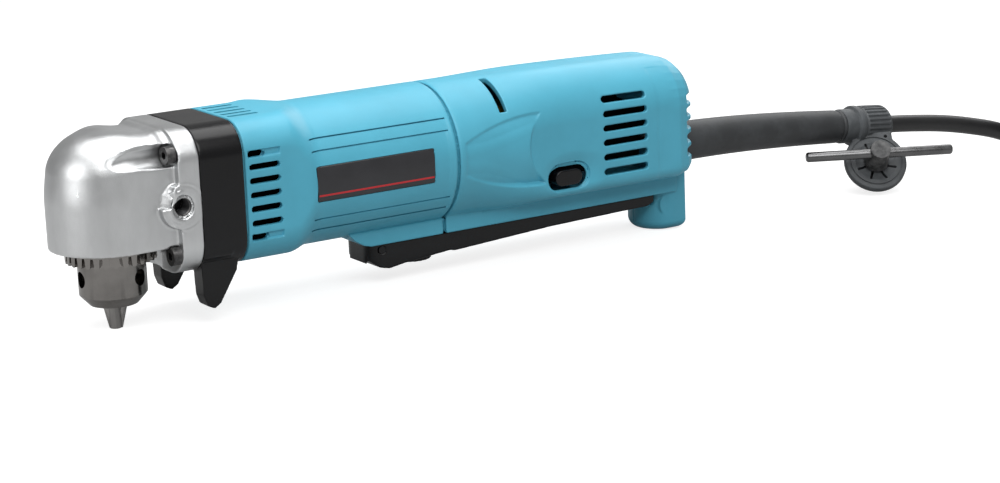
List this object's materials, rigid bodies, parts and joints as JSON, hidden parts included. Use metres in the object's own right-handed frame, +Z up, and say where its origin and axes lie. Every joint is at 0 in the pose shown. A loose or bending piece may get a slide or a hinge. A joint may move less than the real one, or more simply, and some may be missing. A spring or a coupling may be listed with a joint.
{
  "type": "right angle drill",
  "caption": "Corded right angle drill: cast angle head with keyed chuck, blue motor housing and split handle with paddle lever, gear train, motor, cord and chuck key.",
  "frame": {"origin": "middle of the tool's footprint on the table it stands on, measured without the cord and key", "axes": "+X from the spindle to the cord end, +Z up along the spindle away from the chuck, +Y to the user's right"},
  "size_m": [0.5793, 0.1013, 0.076],
  "materials": {
    "blue_shell": "satin moulded plastic",
    "cast_head": "bright satin die casting",
    "black_plastic": "semi-matte moulded plastic",
    "name_plate": "bare charcoal plate with a thin red line",
    "dark_screw": "black oxide steel",
    "steel": "ground steel",
    "chuck_steel": "turned and satin finished steel",
    "lamination": "stacked laminations",
    "copper": "enamelled copper",
    "bronze": "sintered bronze",
    "carbon": "pressed carbon",
    "red_plastic": "moulded plastic",
    "film": "film capacitor case",
    "rubber": "dark grey soft rubber",
    "cord": "black cord sheath",
    "pin_metal": "nickel plated brass",
    "key_steel": "dark hardened steel"
  },
  "bodies": {
    "housing": {"motor_housing": "blue_shell", "handle_left": "blue_shell", "handle_right": "blue_shell", "angle_head": "cast_head", "gear_band": "black_plastic", "fan_baffle": "black_plastic", "switch_body": "black_plastic", "cord_clamp": "black_plastic", "brush_holders": "black_plastic", "name_plate": "name_plate", "head_screws": "dark_screw", "handle_screws": "dark_screw", "spindle_bearing_outer": "steel", "intermediate_bearing_outer": "steel", "front_bearing_outer": "steel", "rear_bearing_outer": "steel", "bearing_balls": "steel", "lever_pin": "steel", "field_core": "lamination", "field_coils": "copper", "spindle_bush": "bronze", "intermediate_bush": "bronze", "brush_springs": "bronze", "carbon_brushes": "carbon", "capacitor": "film", "cord_guard": "rubber", "key_holder": "rubber", "cord_lead": "cord", "cord_coil": "cord", "plug_body": "cord", "internal_leads": "cord", "coil_tie": "cord", "plug_pins": "pin_metal"},
    "armature": {"armature_shaft": "steel", "armature_core": "lamination", "armature_windings": "copper", "commutator": "copper", "cooling_fan": "black_plastic", "front_bearing_inner": "steel", "rear_bearing_inner": "steel"},
    "intermediate": {"intermediate_shaft": "steel", "bevel_pinion": "steel", "spur_gear": "steel", "intermediate_bearing_inner": "steel"},
    "spindle": {"spindle": "steel", "bevel_gear": "steel", "spindle_bearing_inner": "steel", "chuck_body": "chuck_steel"},
    "chuck_sleeve": {"chuck_sleeve": "chuck_steel", "chuck_nut": "chuck_steel"},
    "jaw_1": {"jaw_1": "chuck_steel"},
    "jaw_2": {"jaw_2": "chuck_steel"},
    "jaw_3": {"jaw_3": "chuck_steel"},
    "lever": {"switch_lever": "black_plastic"},
    "dial": {"speed_dial": "black_plastic"},
    "plunger": {"switch_plunger": "red_plastic"},
    "lock": {"lock_button": "black_plastic"},
    "key": {"chuck_key": "key_steel", "key_bar": "key_steel"}
  },
  "joints": [
    {"name": "armature_spin", "type": "hinge", "parent": "housing", "child": "armature", "pos_m": [-0.05425, 0, 0.047], "axis": [1, 0, 0], "continuous": true},
    {"name": "intermediate_spin", "type": "hinge", "parent": "housing", "child": "intermediate", "pos_m": [-0.08925, 0, 0.0603], "axis": [1, 0, 0], "continuous": true},
    {"name": "spindle_spin", "type": "hinge", "parent": "housing", "child": "spindle", "pos_m": [-0.11425, 0, 0.047], "axis": [0, 0, 1], "continuous": true},
    {"name": "sleeve_turn", "type": "hinge", "parent": "spindle", "child": "chuck_sleeve", "pos_m": [-0.11425, 0, 0.031], "axis": [0, 0, 1], "range_deg": [0, 3620]},
    {"name": "jaw_1_slide", "type": "slide", "parent": "spindle", "child": "jaw_1", "axis": [0.2756, 0, 0.9613], "range_m": [0, 0.018]},
    {"name": "jaw_2_slide", "type": "slide", "parent": "jaw_1", "child": "jaw_2", "axis": [-0.866, 0.5, 0], "range_m": [0, 0.00865]},
    {"name": "jaw_3_slide", "type": "slide", "parent": "jaw_1", "child": "jaw_3", "axis": [-0.866, -0.5, 0], "range_m": [0, 0.00865]},
    {"name": "lever_press", "type": "hinge", "parent": "housing", "child": "lever", "pos_m": [-0.00675, 0, 0.0136], "axis": [0, -1, 0], "range_deg": [0, 3], "stiffness_Nm_per_rad": 3, "springref_deg": -1.72},
    {"name": "plunger_slide", "type": "slide", "parent": "housing", "child": "plunger", "axis": [0, 0, 1], "range_m": [0, 0.0031]},
    {"name": "dial_turn", "type": "hinge", "parent": "lever", "child": "dial", "pos_m": [0.01225, 0, 0.008], "axis": [0, 0, 1], "range_deg": [0, 270]},
    {"name": "lock_press", "type": "slide", "parent": "housing", "child": "lock", "axis": [0, 1, 0], "range_m": [0, 0.0035], "stiffness_N_per_m": 600, "springref_m": -0.001},
    {"name": "key_turn", "type": "hinge", "parent": "housing", "child": "key", "pos_m": [0.23775, -0.014, 0.013], "axis": [-0.3502, -0.7023, 0.6198], "range_deg": [-3, 35]}
  ],
  "couplings": [
    {"joint": "intermediate_spin", "follows": "armature_spin", "ratio": -0.26667},
    {"joint": "spindle_spin", "follows": "armature_spin", "ratio": -0.13333},
    {"joint": "sleeve_turn", "follows": "jaw_1_slide", "rad_per_m": 3490.7},
    {"joint": "jaw_2_slide", "follows": "jaw_1_slide", "ratio": 0.47742},
    {"joint": "jaw_3_slide", "follows": "jaw_1_slide", "ratio": 0.47742},
    {"joint": "plunger_slide", "follows": "lever_press", "m_per_rad": 0.0575}
  ]
}
